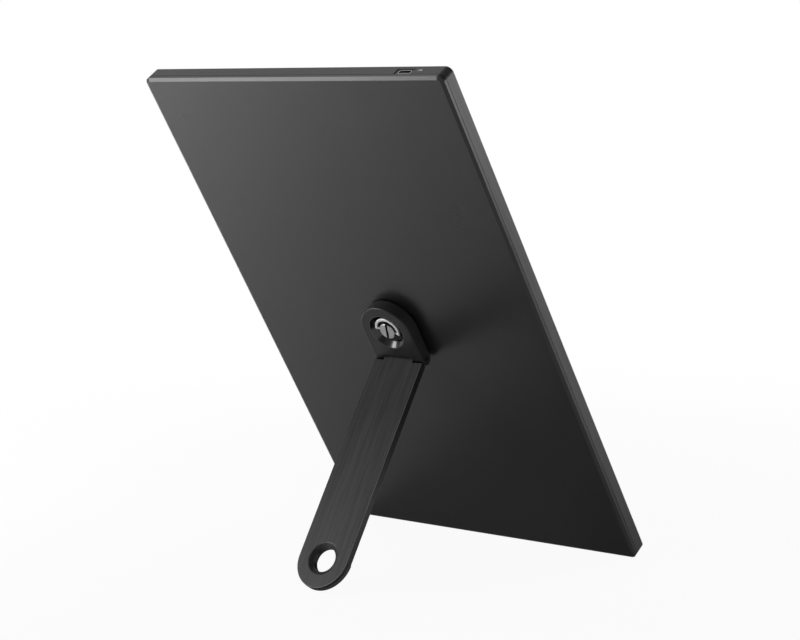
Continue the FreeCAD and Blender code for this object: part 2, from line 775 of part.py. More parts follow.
def driver_side():
    """The narrow board in the chin, the films that join it to the cell, and its chips."""
    board_over = "bezel_back + driver_thickness"
    keep(group("driver_board", [box("driver_block", "driver_left", "driver_right",
                                    "-driver_length / 2", "driver_length / 2", "bezel_back",
                                    board_over)]))
    films = []
    for index in range(SIZES["film_count"]):
        share = (index + 0.5) / SIZES["film_count"] - 0.5
        middle = f"driver_length * ({share})"
        films.append(box(f"film_{index}", "cell_right", "driver_left + film_overlap",
                         f"{middle} - film_length / 2", f"{middle} + film_length / 2",
                         board_over, "film_back"))
    keep(group("driver_films", films))
    chip_left = "driver_left + film_overlap + fit_gap"
    chips = []
    for index, share in enumerate(DRIVER_CHIP_SHARES):
        middle = f"driver_length * ({share})"
        chips.append(box(f"driver_chip_{index}", chip_left, f"{chip_left} + driver_chip_side",
                         f"{middle} - driver_chip_side / 2", f"{middle} + driver_chip_side / 2",
                         board_over, f"{board_over} + driver_chip_height"))
    keep(group("driver_chips", chips))


# Electronics

def drilled_board(name, left, right, low, high, holes):
    """A circuit board with clearance holes for its screws."""
    blank = box(name + "_blank", left, right, low, high, "board_front", "board_back")
    drills = [rod(f"{name}_drill_{index}", "screw_shank + screw_gap", x, y,
                  "board_front - cut_overrun", "board_back + cut_overrun")
              for index, (x, y) in enumerate(holes)]
    keep(cut(name, blank, fuse(name + "_drills", drills)))


def boards():
    drilled_board("main_board", "board_left", "board_right", "board_low", "board_high",
                  BOARD_HOLES)
    drilled_board("key_board", "key_board_left", "key_board_right", "key_board_low",
                  "key_board_high", KEY_BOARD_HOLES)
    chips = []
    for index, (side, x_share, y_share) in enumerate(MAIN_CHIP_SHARES):
        x = f"board_left + board_width * {x_share}"
        y = f"board_low + board_length * {y_share}"
        chips.append(box(f"chip_{index}", f"{x} - {side} / 2", f"{x} + {side} / 2",
                         f"{y} - {side} / 2", f"{y} + {side} / 2", "board_front - chip_height",
                         "board_front"))
    keep(group("main_board_chips", chips))


DISPLAY_PLUG_X = "driver_left + film_overlap + fit_gap + display_ribbon_width / 2"


def ribbon_socket():
    """The socket on the main board that the display ribbon plugs into."""
    half = "connector_length / 2"
    main = box("main_socket", f"{DISPLAY_PLUG_X} - {half}", f"{DISPLAY_PLUG_X} + {half}",
               "board_low", "board_low + connector_width", "board_front - connector_height",
               "board_front")
    keep(group("ribbon_socket", [main]))


def usb_inlet():
    """The inlet's steel shell and the plastic tongue inside it."""
    front = "half_height - port_inset"
    body = new_body("usb_c_shell")
    outside = new_sketch(body, "shell_outline", "XZ_Plane", front)
    corner = "port_height / 2 - fit_gap"
    rounded_rectangle(outside, "port_x - port_width / 2",
                      "port_x + port_width / 2", "-port_depth - port_height / 2",
                      "-port_depth + port_height / 2", corner)
    pad(body, outside, "port_length")
    inside = new_sketch(body, "shell_opening", "XZ_Plane", front)
    rounded_rectangle(inside, "port_x - port_width / 2 + port_wall",
                      "port_x + port_width / 2 - port_wall",
                      "-port_depth - port_height / 2 + port_wall",
                      "-port_depth + port_height / 2 - port_wall", f"{corner} - port_wall")
    pocket(body, inside, "port_length", upwards=True)
    keep(body)
    tongue = new_body("usb_c_tongue")
    back = new_sketch(tongue, "tongue_block", "XZ_Plane", f"{front} - port_length")
    rounded_rectangle(back, "port_x - port_width / 2 + port_wall",
                      "port_x + port_width / 2 - port_wall",
                      "-port_depth - port_height / 2 + port_wall",
                      "-port_depth + port_height / 2 - port_wall", f"{corner} - port_wall")
    pad(tongue, back, "port_length - port_tongue_length - port_wall", downwards=True)
    blade = new_sketch(tongue, "tongue_blade", "XZ_Plane", f"{front} - port_length")
    rectangle(blade, "port_x - port_tongue_width / 2",
              "port_x + port_tongue_width / 2",
              "-port_depth - port_tongue_thickness / 2",
              "-port_depth + port_tongue_thickness / 2")
    pad(tongue, blade, "port_length - port_wall", downwards=True)
    keep(tongue)


def status_light():
    """An LED on the board's edge and the bent clear pipe that brings its light outside."""
    left = "light_x - light_width / 2"
    right = "light_x + light_width / 2"
    led_low = "light_in + (light_leg - status_led_length) / 2"
    keep(group("status_led", [box("status_chip", left, right, led_low,
                                  f"{led_low} + status_led_length",
                                  "board_front - status_led_height", "board_front")]))
    out = box("pipe_window", left, right, "light_in", "half_height",
              "-light_depth - light_height / 2", "-light_depth + light_height / 2")
    leg = box("pipe_leg", left, right, "light_in", "light_in + light_leg",
              "-light_depth - light_height / 2", "board_front - status_led_height - fit_gap")
    keep(fuse("led_light_pipe", [out, leg]))


def keys():
    """Two push keys in the frame's wall, each held in by a flange behind the wall."""
    flange_half = "key_height / 2 + key_flange"
    switches = []
    for name, place in KEYS:
        body = new_body(name)
        cap = new_sketch(body, name + "_cap", "XZ_Plane", "-(half_height + key_proud)")
        rounded_rectangle(cap, f"{place} - key_length / 2", f"{place} + key_length / 2",
                          "-port_depth - key_height / 2", "-port_depth + key_height / 2",
                          "key_corner - key_gap")
        face = pad(body, cap, "key_proud + side_wall", downwards=True)
        front = value("-(half_height + key_proud)")
        round_edges(body, face, lambda edge: edge.YMax < front + SAME_LEVEL, "key_proud")
        flange = new_sketch(body, name + "_flange", "XZ_Plane", "-wall_inner")
        rectangle(flange, f"{place} - key_length / 2 - key_flange",
                  f"{place} + key_length / 2 + key_flange",
                  f"-port_depth - ({flange_half})", f"-port_depth + {flange_half}")
        pad(body, flange, "key_flange_thickness", downwards=True)
        keep(body)
        case_low = "stem_end + switch_stem"
        case = box(name + "_switch_case", f"{place} - switch_length / 2",
                   f"{place} + switch_length / 2", case_low, f"{case_low} + switch_depth",
                   "board_front - switch_height", "board_front")
        stem = box(name + "_switch_stem", f"{place} - switch_stem_width / 2",
                   f"{place} + switch_stem_width / 2", "stem_end + fit_gap", case_low,
                   "-port_depth - port_tongue_thickness", "-port_depth + port_tongue_thickness")
        switches.append(fuse(name + "_switch", [case, stem]))
    keep(group("tact_switches", switches))


def screw(name, x, y, seat, tip):
    """A small pan-head screw from under its seat up to its tip."""
    head = rod(name + "_head", "screw_head", x, y, f"{seat} - screw_head_height", seat)
    shank = rod(name + "_shank", "screw_shank", x, y, seat, tip)
    return fuse(name, [head, shank])


def screws():
    """The screws in the boards and in the socket plate."""
    keep(group("board_screws", [
        screw(f"board_screw_{index}", x, y, "board_front", "board_back + screw_bite")
        for index, (x, y) in enumerate(BOARD_HOLES + KEY_BOARD_HOLES)]))
    keep(group("plate_screws", [
        screw(f"plate_screw_{index}", x, y, "socket_plate_low", "socket_plate_top + screw_bite")
        for index, (x, y) in enumerate(SOCKET_HOLES)]))


# Flat cables

def band(name, points, width, middle):
    """A flat cable of one thickness under a route of straight runs and tangent bends."""
    left = value(f"{middle} - {width} / 2")
    spots = [FreeCAD.Vector(left, value(y), value(z)) for y, z in points]
    bend = value("ribbon_bend")
    edges = []
    start = spots[0]
    for here, following in zip(spots[1:-1], spots[2:]):
        back = (start - here).normalize()
        ahead = (following - here).normalize()
        half_turn = (math.pi - back.getAngle(ahead)) / 2
        reach = bend * math.tan(half_turn)
        inner = (back + ahead).normalize()
        crown = here + inner * (bend / math.cos(half_turn) - bend)
        entry = here + back * reach
        leave = here + ahead * reach
        edges.append(Part.makeLine(start, entry))
        edges.append(Part.Arc(entry, crown, leave).toShape())
        start = leave
    edges.append(Part.makeLine(start, spots[-1]))
    wire = Part.Wire(edges)
    thickness = value("ribbon_thickness")
    sides = [wire.makeOffset2D(side * thickness, fill=True, openResult=True) for side in (1, -1)]
    strip = min(sides, key=lambda face: face.BoundBox.ZMin)
    cable = doc.addObject("Part::Feature", name)
    cable.Shape = strip.extrude(FreeCAD.Vector(value(width), 0, 0))
    keep(cable)


def ribbons():
    """The display ribbon down into the chin, and the key ribbon along the cover's inside."""
    socket_face = "board_front - connector_height"
    drop = "board_low - ribbon_tail - ribbon_ramp"
    land = "bezel_back + driver_thickness + ribbon_thickness"
    band("display_ribbon", [
        ("board_low + connector_width", socket_face),
        ("board_low - ribbon_tail", socket_face),
        (drop, land),
        (f"{drop} - ribbon_tail - display_ribbon_width / 2", land),
    ], "display_ribbon_width", DISPLAY_PLUG_X)
    under = "board_back + ribbon_thickness"
    floor = "-cover_plate"
    band("key_ribbon", [
        ("board_low + ribbon_tail", under),
        ("board_low - ribbon_tail", under),
        ("board_low - ribbon_tail - ribbon_ramp", floor),
        ("key_board_high + ribbon_tail + ribbon_ramp", floor),
        ("key_board_high + ribbon_tail", under),
        ("key_board_high - ribbon_tail", under),
    ], "key_ribbon_width", "key_ribbon_x")


# Socket for the stand's screw

def socket():
    """A steel plate on the cover's posts, with a blind nut through its middle."""
    body = new_body("socket_plate")
    outline = new_sketch(body, "plate_outline", level="socket_plate_low")
    half = "socket_plate_side / 2"
    rounded_rectangle(outline, f"-{half}", half, f"-{half}", half, "socket_plate_corner")
    pad(body, outline, "socket_plate_thickness")
    holes = new_sketch(body, "plate_holes", level="socket_plate_low")
    for x, y in SOCKET_HOLES:
        circle(holes, x, y, "screw_shank + screw_gap")
    circle(holes, "0", "0", "nut_radius + screw_gap")
    pocket(body, holes, "socket_plate_thickness", upwards=True)
    keep(body)
    nut = new_body("tripod_nut")
    bore = "thread_radius + thread_gap"
    section = new_sketch(nut, "nut_section", "XZ_Plane")
    polygon(section, [
        (bore, "-nut_rim_inset"), ("nut_radius", "-nut_rim_inset"),
        ("nut_radius", "socket_plate_low"), ("nut_flange", "socket_plate_low"),
        ("nut_flange", "socket_plate_low - nut_flange_thickness"),
        ("nut_radius", "socket_plate_low - nut_flange_thickness"),
        ("nut_radius", "-nut_length"), ("0", "-nut_length"),
        ("0", "-nut_length + nut_floor"), (bore, "-nut_length + nut_floor"),
    ])
    revolve(nut, section)
    keep(nut)


# Stand head

def head_plate():
    """Round-topped block with a well for the screw and two ears for the hinge."""
    body = new_body("head_plate")
    outline = new_sketch(body, "head_outline", level="head_bottom")
    round_ended(outline, "head_radius", "-hinge_drop", "0")
    block = pad(body, outline, "head_top - head_bottom")
    square_end = value("-hinge_drop") + SAME_LEVEL
    top = at_level("head_top")
    round_edges(body, block, lambda edge: top(edge) and edge.YMax > square_end, "head_edge")
    ears = new_sketch(body, "ear_outline", "YZ_Plane", "-head_radius")
    circle(ears, "-hinge_drop", "hinge_height", "ear_radius")
    pad(body, ears, "stand_width")
    slot = new_sketch(body, "tongue_slot", level="head_top")
    rectangle(slot, "-ear_inner", "ear_inner", "-(hinge_drop + ear_radius + cut_overrun)",
              "-hinge_drop + slot_back")
    pocket(body, slot, "head_top")
    side_rod(body, "Subtractive", "pin_bore", "pin_radius", "head_radius + cut_overrun",
             "-hinge_drop", "hinge_height")
    well = new_sketch(body, "well_section", "XZ_Plane")
    wall = "liner_wall"
    polygon(well, [
        ("0", "head_bottom"), ("keeper_recess", "head_bottom"), ("keeper_recess", "web_bottom"),
        ("thread_radius + neck_gap", "web_bottom"), ("thread_radius + neck_gap", "liner_bottom"),
        (f"well_floor + {wall}", "liner_bottom"), (f"well_floor + {wall}", "well_bottom"),
        (f"well_top + {wall}", "head_top"), ("0", "head_top"),
    ])
    groove = body.newObject("PartDesign::Groove", "well")
    groove.Profile = well
    groove.ReferenceAxis = (well, ["V_Axis"])
    groove.Angle = 360
    doc.recompute()
    keep(body)


def head_fittings():
    """The polished cup in the well and the rubber pad under the head."""
    liner = new_body("well_liner")
    section = new_sketch(liner, "liner_section", "XZ_Plane")
    wall = "liner_wall - fit_gap"
    polygon(section, [
        ("thread_radius + neck_gap", "liner_bottom"), (f"well_floor + {wall}", "liner_bottom"),
        (f"well_floor + {wall}", "well_bottom"), (f"well_top + {wall}", "head_top"),
        ("well_top", "head_top"), ("well_floor", "well_bottom"),
        ("thread_radius + neck_gap", "well_bottom"),
    ])
    revolve(liner, section)
    keep(liner)
    pad_body = new_body("friction_pad")
    outline = new_sketch(pad_body, "pad_outline", level="pad_gap")
    round_ended(outline, "head_radius - pad_inset", "-hinge_drop + slot_back + pad_inset", "0")
    pad(pad_body, outline, "pad_thickness")
    hole = new_sketch(pad_body, "pad_hole_outline", level="pad_gap")
    circle(hole, "0", "0", "pad_hole")
    pocket(pad_body, hole, "pad_thickness", upwards=True)
    keep(pad_body)


def clamp_screw():
    """Slotted knob on a flange, a necked shank for the keeper, and the thread below."""
    body = new_body("clamp_screw")
    section = new_sketch(body, "screw_section", "XZ_Plane")
    neck = "thread_radius - keeper_groove"
    polygon(section, [
        ("0", "-thread_reach"), ("thread_radius - thread_tip", "-thread_reach"),
        ("thread_radius", "-thread_reach + thread_tip"),
        ("thread_radius", "keeper_bottom - screw_gap"), (neck, "keeper_bottom - screw_gap"),
        (neck, "keeper_top + screw_gap"), ("thread_radius", "keeper_top + screw_gap"),
        ("thread_radius", "screw_seat"), ("screw_flange - screw_flange_edge", "screw_seat"),
        ("screw_flange", "screw_seat + screw_flange_edge"),
        ("screw_flange", "screw_flange_top - screw_flange_edge"),
        ("screw_flange - screw_flange_edge", "screw_flange_top"),
        ("knob_radius", "screw_flange_top"), ("knob_radius", "knob_top - knob_edge"),
        ("knob_radius - knob_edge", "knob_top"), ("0", "knob_top"),
    ])
    revolve(body, section)
    slot = new_sketch(body, "coin_slot", level="knob_top")
    rectangle(slot, "-coin_slot_width / 2", "coin_slot_width / 2",
              "-(knob_radius + cut_overrun)", "knob_radius + cut_overrun")
    pocket(body, slot, "coin_slot_depth")
    for side, sign in (("right", ""), ("left", "-")):
        eye = body.newObject("PartDesign::SubtractiveCylinder", f"ring_eye_{side}")
        eye.setExpression("Radius", bound("ring_pin + ring_pin_gap"))
        eye.setExpression("Height", bound("ring_pin_depth + ring_pin_gap + cut_overrun"))
        eye.setExpression("Placement", bound(
            f"placement(vector({sign}(knob_radius - ring_pin_depth - ring_pin_gap); 0; ring_middle);"
            f" rotation(vector(0; 1; 0); {sign}90 deg))"))
        doc.recompute()
    keep(body, "screw_turned")
    keeper = new_body("screw_washer")
    outline = new_sketch(keeper, "keeper_outline", level="keeper_bottom")
    circle(outline, "0", "0", "keeper_outer")
    circle(outline, "0", "0", "keeper_inner")
    pad(keeper, outline, "keeper_thickness")
    keep(keeper, "screw_turned")


def screw_ring():
    """Bail that lies round the knob, hung on two short pins in the knob's sides."""
    body = new_body("screw_ring")
    half = "ring_thickness / 2"
    outline = new_sketch(body, "ring_outline", level=f"ring_middle - {half}")
    round_ended(outline, "ring_outer", f"-{half}", "ring_rise")
    pad(body, outline, "ring_thickness")
    inside = new_sketch(body, "ring_inside", level=f"ring_middle + {half}")
    round_ended(inside, "ring_inner", f"-({half} + cut_overrun)", "ring_rise")
    hoop = pocket(body, inside, "ring_thickness")
    round_edges(body, hoop, lambda edge: edge.ZLength < SAME_LEVEL, "ring_edge")
    for side, sign in (("right", ""), ("left", "-")):
        pin = body.newObject("PartDesign::AdditiveCylinder", f"ring_pin_{side}")
        pin.setExpression("Radius", bound("ring_pin"))
        pin.setExpression("Height", bound("ring_inner + ring_edge - knob_radius + ring_pin_depth"))
        pin.setExpression("Placement", bound(
            f"placement(vector({sign}(knob_radius - ring_pin_depth); 0; ring_middle);"
            f" rotation(vector(0; 1; 0); {sign}90 deg))"))
        doc.recompute()
    keep(body, "screw_turned")


# Hinge and arm, drawn folded with the hinge axis on x

def hinge():
    pin = new_body("hinge_pin")
    side_rod(pin, "Additive", "pin_rod", "pin_radius", "head_radius - pin_end_inset",
             "-hinge_drop", "hinge_height")
    keep(pin)
    washers = []
    for side, inner in (("right", "tongue_half + (hinge_side_gap - washer_thickness) / 2"),
                        ("left", "-tongue_half - (hinge_side_gap + washer_thickness) / 2")):
        for part, radius in (("disc", "washer_radius"), ("eye", "pin_radius + pin_gap")):
            blank = doc.addObject("Part::Cylinder", f"washer_{side}_{part}")
            blank.setExpression("Radius", bound(radius))
            blank.setExpression("Height", bound("washer_thickness"))
            blank.setExpression("Placement", bound(
                f"placement(vector({inner}; -hinge_drop; hinge_height);"
                " rotation(vector(0; 1; 0); 90 deg))"))
        washers.append(cut(f"washer_{side}", doc.getObject(f"washer_{side}_disc"),
                           doc.getObject(f"washer_{side}_eye")))
    keep(group("friction_washers", washers))


def arm_bar():
    """Flat bar with a hinge knuckle, a sunk hole near its round tip, and a seat for the foot."""
    body = new_body("arm_bar")
    outline = new_sketch(body, "arm_outline", level="arm_bottom")
    round_ended(outline, "arm_radius", "-shoulder", "-hole_distance")
    bar = pad(body, outline, "arm_thickness")
    hole = new_sketch(body, "arm_hole", level="arm_top")
    circle(hole, "0", "-hole_distance", "hole_radius")
    pocket(body, hole, "arm_thickness")
    sink = body.newObject("PartDesign::SubtractiveCone", "hole_countersink")
    sink.setExpression("Radius1", bound("hole_radius"))
    sink.setExpression("Radius2", bound("hole_rim"))
    sink.setExpression("Height", bound("hole_sink"))
    sink.setExpression("Placement", bound(
        "placement(vector(0; -hole_distance; arm_top - hole_sink); rotation(vector(0; 0; 1); 0 deg))"))
    doc.recompute()
    bevel_edges(body, sink, at_level("arm_top"), "arm_edge")
    seat = new_sketch(body, "foot_seat", level="arm_bottom")
    rectangle(seat, "-(arm_radius + cut_overrun)", "arm_radius + cut_overrun",
              "-(hole_distance + arm_radius + cut_overrun)", "-hole_distance")
    pocket(body, seat, "arm_thickness - tip_plate", upwards=True)
    collar = new_sketch(body, "hole_collar", level="collar_bottom")
    circle(collar, "0", "-hole_distance", "collar_radius")
    circle(collar, "0", "-hole_distance", "hole_radius")
    pad(body, collar, "arm_top - hole_sink - collar_bottom")
    tongue = new_sketch(body, "arm_tongue", level="arm_bottom")
    rectangle(tongue, "-tongue_half", "tongue_half", "-(shoulder + cut_overrun)", "0")
    pad(body, tongue, "arm_thickness")
    side_rod(body, "Additive", "arm_knuckle", "arm_top", "tongue_half")
    side_rod(body, "Subtractive", "arm_bore", "pin_radius + pin_gap", "tongue_half + cut_overrun")
    keep(body, "arm_opened")


def rubber_foot():
    """Half-round rubber pad under the tip, a little proud of it, with a groove at its top."""
    body = new_body("rubber_foot")
    upper = new_sketch(body, "foot_upper", level="foot_top")
    circle(upper, "0", "-hole_distance", "foot_radius - foot_groove_depth")
    pad(body, upper, "2 * foot_groove_height", downwards=True)
    lower = new_sketch(body, "foot_lower", level="foot_top - foot_groove_height")
    circle(lower, "0", "-hole_distance", "foot_radius")
    block = pad(body, lower, "foot_top - foot_groove_height - foot_bottom", downwards=True)
    block = round_edges(body, block, at_level("foot_bottom"), "foot_edge")
    away = new_sketch(body, "foot_square_side", level="foot_top")
    rectangle(away, "-(foot_radius + cut_overrun)", "foot_radius + cut_overrun",
              "-hole_distance - foot_gap", "-hole_distance + foot_radius + cut_overrun")
    pocket(body, away, "foot_depth")
    hole = new_sketch(body, "foot_hole", level="foot_top")
    circle(hole, "0", "-hole_distance", "collar_radius + foot_gap")
    pocket(body, hole, "foot_depth")
    keep(body, "arm_opened")


rear_cover()
front_frame()
screen_layers()
backlight()
driver_side()
boards()
ribbon_socket()
usb_inlet()
status_light()
keys()
screws()
ribbons()
socket()
head_plate()
head_fittings()
clamp_screw()
screw_ring()
hinge()
arm_bar()
rubber_foot()
doc.recompute()

# Every object has to be sound before anything is written.

for item in doc.Objects:
    if "Invalid" in item.State or "Error" in item.State:
        raise RuntimeError(f"{item.Name} did not build: {item.State}")
for piece in NODES:
    if piece.Shape.isNull() or not piece.Shape.isValid() or not piece.Shape.Solids:
        raise RuntimeError(f"{piece.Label} is not a valid solid")

os.makedirs("parts", exist_ok=True)
for piece in NODES:
    piece.Shape.exportStep(os.path.join("parts", piece.Label + ".step"))

for pose_name in ("standing", "arm_opened", "screw_turned"):
    pose = doc.getObject(pose_name).Placement
    print(pose_name, [round(number, 6) for number in pose.toMatrix().A])
print("panel tilt", layout.panel_tilt)
print(len(NODES), "pieces,", sum(len(piece.Shape.Solids) for piece in NODES), "solids")
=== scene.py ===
import json
import math

import bpy
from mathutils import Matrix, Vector


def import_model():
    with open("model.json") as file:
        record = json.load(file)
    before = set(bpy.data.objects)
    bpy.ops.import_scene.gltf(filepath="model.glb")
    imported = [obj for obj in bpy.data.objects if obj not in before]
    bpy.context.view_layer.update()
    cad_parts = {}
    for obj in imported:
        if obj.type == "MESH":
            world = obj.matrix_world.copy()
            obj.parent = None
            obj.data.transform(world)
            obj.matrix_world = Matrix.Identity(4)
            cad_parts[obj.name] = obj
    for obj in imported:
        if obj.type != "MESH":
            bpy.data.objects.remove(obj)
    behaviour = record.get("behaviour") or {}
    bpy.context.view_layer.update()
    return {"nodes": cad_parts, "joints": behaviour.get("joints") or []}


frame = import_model()

# The monitor's own directions, read from the stand's joints
JOINTS = {joint["name"]: joint for joint in frame["joints"]}
BACK = Vector(JOINTS["stand_swivel"]["axis"])
UP_PANEL = Vector(JOINTS["power_press"]["axis"])
SIDEWAYS = Vector((1.0, 0.0, 0.0))
SCREW_SPOT = Vector(JOINTS["stand_swivel"]["pos_m"])
PANEL_TILT = math.atan2(UP_PANEL.y, UP_PANEL.z)
ARM_OPEN = -math.radians(JOINTS["arm_fold"]["range_deg"][0])
ARM_TILT = PANEL_TILT - ARM_OPEN
ARM_OUT = Vector((0.0, math.cos(ARM_TILT), -math.sin(ARM_TILT)))

# How squarely a surface faces a direction, as a cosine, where one finish, painted highlight or
# painted shade goes over into another
END_WALL = (0.6, 0.8)
BEZEL_FACE = (0.75, 0.85)
ARM_SIDE = (0.85, 0.95)
# The two spans of the painted highlight along the arm's top-edge chamfer
PAINTED_GLINT_FOOT = (0.5, 0.65)
PAINTED_GLINT_TOP = (0.78, 0.74)
HEAD_FACE = (0.3, 0.6)

# The clamp screw is bright from this height over the back, in metres, and darkened below it as
# painted shade in the well
KNOB_FACE = 0.008
SCREW_PAINTED_SHADE = 0.035

# Broad brush streaks come at this share of the fine lines' rate
STREAK_SHARE = 0.45

# The part of a noise's range that is stretched over a finish's range
NOISE_MIDDLE = (0.25, 0.75)

# The floor's size in metres, its white, and how much of the shadow and of itself it lets show
FLOOR_SIDE = 24.0
FLOOR_WHITE = 0.9
SHADOW_SHARE = 0.06
SHADOW_REACH = (0.25, 0.9)
GLOSS_WHITE_SHARE = 0.03

# The side that the soft light comes from, and the point that most lamps aim at
BRIGHT_SIDE = (0.88, -0.3, 0.37)
MIDDLE = (0.0, 0.0, 0.16)

# The camera's place in metres, its turn in degrees, its lens and sensor in millimetres
CAMERA_SPOT = (-0.81338, 1.00311, 0.32299)
CAMERA_TURN = (82.5129, 1.1082, -141.1284)
CAMERA_LENS = 94.876
CAMERA_SENSOR = 36.0
CAMERA_NEAR = 0.05
CAMERA_FAR = 100.0


# Node building

FLOAT = "NodeSocketFloat"
VECTOR = "NodeSocketVector"


def new_group(name, inputs, outputs):
    """A shader node group with named sockets, its inputs given as (name, socket type, default)."""
    group = bpy.data.node_groups.new(name, "ShaderNodeTree")
    for socket_name, kind, default in inputs:
        socket = group.interface.new_socket(socket_name, in_out="INPUT", socket_type=kind)
        socket.default_value = default
    for socket_name, kind in outputs:
        group.interface.new_socket(socket_name, in_out="OUTPUT", socket_type=kind)
    source = group.nodes.new("NodeGroupInput")
    target = group.nodes.new("NodeGroupOutput")
    return group, source, target


def add(tree, kind, **settings):
    """A new node with its settings."""
    node = tree.nodes.new(kind)
    for name, setting in settings.items():
        setattr(node, name, setting)
    return node


def join(tree, start, end):
    """A link from an output socket to an input socket."""
    tree.links.new(start, end)


def give(tree, socket, given):
    """Set an input socket to a plain number, or link it to another socket."""
    if isinstance(given, (int, float)):
        socket.default_value = given
    else:
        join(tree, given, socket)


def math_node(tree, operation, first, second):
    """The result of a Math node whose inputs are sockets or plain numbers."""
    node = add(tree, "ShaderNodeMath", operation=operation)
    give(tree, node.inputs[0], first)
    give(tree, node.inputs[1], second)
    return node.outputs[0]


def remap(tree, value, start_range, end_range, **settings):
    """A value carried from one range to another."""
    span = add(tree, "ShaderNodeMapRange", **settings)
    join(tree, value, span.inputs["Value"])
    for name, setting in zip(("From Min", "From Max"), start_range):
        span.inputs[name].default_value = setting
    for name, setting in zip(("To Min", "To Max"), end_range):
        span.inputs[name].default_value = setting
    return span.outputs[0]


def noise_value(tree, place, rate, detail, roughness):
    """Noise from 0 to 1 at a place, with its rate given by a socket."""
    noise = add(tree, "ShaderNodeTexNoise")
    noise.inputs["Detail"].default_value = detail
    noise.inputs["Roughness"].default_value = roughness
    join(tree, place, noise.inputs["Vector"])
    join(tree, rate, noise.inputs["Scale"])
    return noise.outputs["Fac"]


# Shared effects

def grain_group():
    """Fine blasted grain, even in all directions, and a slow cloudiness."""
    group, source, target = new_group(
        "fine_grain",
        [("Grains per metre", FLOAT, 2500.0), ("Clouds per metre", FLOAT, 18.0)],
        [("Grain", FLOAT), ("Clouds", FLOAT)])
    place = add(group, "ShaderNodeTexCoord").outputs["Object"]
    grain_rate = source.outputs["Grains per metre"]
    grain = noise_value(group, place, grain_rate, detail=2.0, roughness=0.55)
    join(group, grain, target.inputs["Grain"])
    cloud_rate = source.outputs["Clouds per metre"]
    clouds = noise_value(group, place, cloud_rate, detail=4.0, roughness=0.55)
    join(group, clouds, target.inputs["Clouds"])
    return group


def hairline_group():
    """Brushed lines in a frame turned about x: along its z, or along x where Across is 1."""
    group, source, target = new_group(
        "hairlines",
        [("Turn", FLOAT, 0.0), ("Across", FLOAT, 0.0), ("Lines per metre", FLOAT, 1400.0),
         ("Stretch", FLOAT, 0.015)],
        [("Lines", FLOAT), ("Streaks", FLOAT)])
    place = add(group, "ShaderNodeTexCoord")
    turn = add(group, "ShaderNodeCombineXYZ")
    join(group, source.outputs["Turn"], turn.inputs["X"])
    turned = add(group, "ShaderNodeMapping", vector_type="POINT")
    join(group, place.outputs["Object"], turned.inputs["Vector"])
    join(group, turn.outputs[0], turned.inputs["Rotation"])
    along = math_node(group, "SUBTRACT", 1.0, source.outputs["Across"])
    shrink = math_node(group, "SUBTRACT", 1.0, source.outputs["Stretch"])
    squeeze = add(group, "ShaderNodeCombineXYZ")
    squeeze.inputs["Y"].default_value = 1.0
    for axis, share in (("X", source.outputs["Across"]), ("Z", along)):
        loss = math_node(group, "MULTIPLY", share, shrink)
        join(group, math_node(group, "SUBTRACT", 1.0, loss), squeeze.inputs[axis])
    drawn = add(group, "ShaderNodeVectorMath", operation="MULTIPLY")
    join(group, turned.outputs[0], drawn.inputs[0])
    join(group, squeeze.outputs[0], drawn.inputs[1])
    line_rate = source.outputs["Lines per metre"]
    lines = noise_value(group, drawn.outputs[0], line_rate, detail=3.0, roughness=0.6)
    join(group, lines, target.inputs["Lines"])
    streak_rate = math_node(group, "MULTIPLY", line_rate, STREAK_SHARE)
    streaks = noise_value(group, drawn.outputs[0], streak_rate, detail=6.0, roughness=0.6)
    join(group, streaks, target.inputs["Streaks"])
    return group


def facing_group():
    """1 where the surface faces a direction of the part, 0 where it turns away from it."""
    group, source, target = new_group(
        "facing",
        [("Direction", VECTOR, (0.0, 0.0, 1.0)), ("From", FLOAT, 0.6), ("To", FLOAT, 0.8)],
        [("Facing", FLOAT)])
    place = add(group, "ShaderNodeTexCoord")
    dot = add(group, "ShaderNodeVectorMath", operation="DOT_PRODUCT")
    join(group, place.outputs["Normal"], dot.inputs[0])
    join(group, source.outputs["Direction"], dot.inputs[1])
    span = add(group, "ShaderNodeMapRange", clamp=True)
    join(group, dot.outputs["Value"], span.inputs["Value"])
    join(group, source.outputs["From"], span.inputs["From Min"])
    join(group, source.outputs["To"], span.inputs["From Max"])
    join(group, span.outputs[0], target.inputs["Facing"])
    return group


def turned_group():
    """Concentric tool marks about the stand's screw, and the height along its axis."""
    group, source, target = new_group(
        "turned_marks",
        [("Rings per metre", FLOAT, 3000.0)],
        [("Rings", FLOAT), ("Height", FLOAT)])
    place = add(group, "ShaderNodeTexCoord")
    away = add(group, "ShaderNodeVectorMath", operation="SUBTRACT")
    away.inputs[1].default_value = SCREW_SPOT
    join(group, place.outputs["Object"], away.inputs[0])
    height = add(group, "ShaderNodeVectorMath", operation="DOT_PRODUCT")
    height.inputs[1].default_value = BACK
    join(group, away.outputs[0], height.inputs[0])
    join(group, height.outputs["Value"], target.inputs["Height"])
    across = add(group, "ShaderNodeVectorMath", operation="CROSS_PRODUCT")
    across.inputs[1].default_value = BACK
    join(group, away.outputs[0], across.inputs[0])
    radius = add(group, "ShaderNodeVectorMath", operation="LENGTH")
    join(group, across.outputs[0], radius.inputs[0])
    noise = add(group, "ShaderNodeTexNoise", noise_dimensions="1D")
    noise.inputs["Detail"].default_value = 2.0
    join(group, radius.outputs["Value"], noise.inputs["W"])
    join(group, source.outputs["Rings per metre"], noise.inputs["Scale"])
    join(group, noise.outputs["Fac"], target.inputs["Rings"])
    return group


GRAIN = grain_group()
HAIRLINES = hairline_group()
FACING = facing_group()
TURNED = turned_group()


# Material building

def new_material(name, **plain):
    """A material with one Principled shader, its plain values set on its own sockets."""
    material = bpy.data.materials.new(name)
    material.use_nodes = True
    shader = material.node_tree.nodes["Principled BSDF"]
    for socket, setting in plain.items():
        shader.inputs[socket.replace("_", " ")].default_value = setting
    return material, material.node_tree, shader


